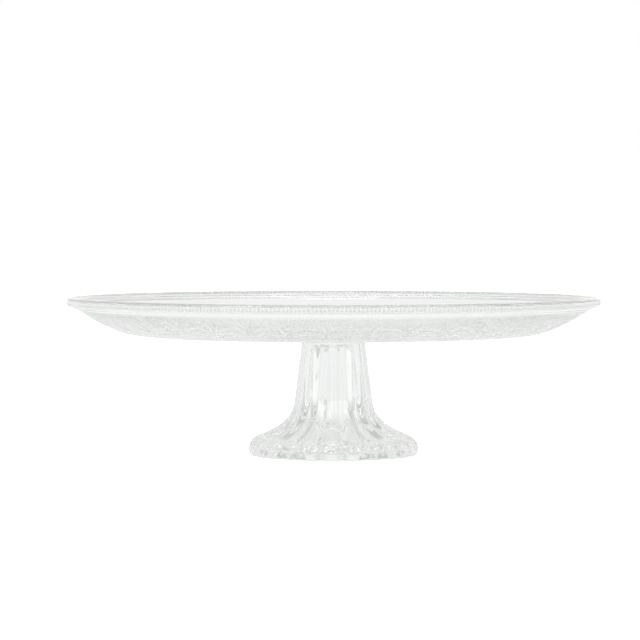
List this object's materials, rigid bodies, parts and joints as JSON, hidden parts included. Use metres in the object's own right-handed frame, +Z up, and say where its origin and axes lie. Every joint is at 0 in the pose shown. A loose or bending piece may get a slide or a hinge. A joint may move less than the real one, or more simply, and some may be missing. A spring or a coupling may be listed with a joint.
{
  "type": "cake stand",
  "caption": "Clear pressed-glass cake stand: a shallow round plate with a raised rim on a hollow ribbed pedestal foot.",
  "frame": {"origin": "centre of the flat ring that the foot rests on", "axes": "+Z up along the axis of the pedestal and plate; +X and +Y across the plate, +X through the crest of a lobe"},
  "size_m": [0.3, 0.3, 0.0888],
  "materials": {
    "plate_glass": "clear pressed glass, fire-polished",
    "pedestal_glass": "clear pressed glass, fire-polished",
    "bond_adhesive": "clear cured adhesive"
  },
  "bodies": {
    "root": {"plate": "plate_glass", "pedestal": "pedestal_glass", "bond": "bond_adhesive"}
  },
  "joints": []
}
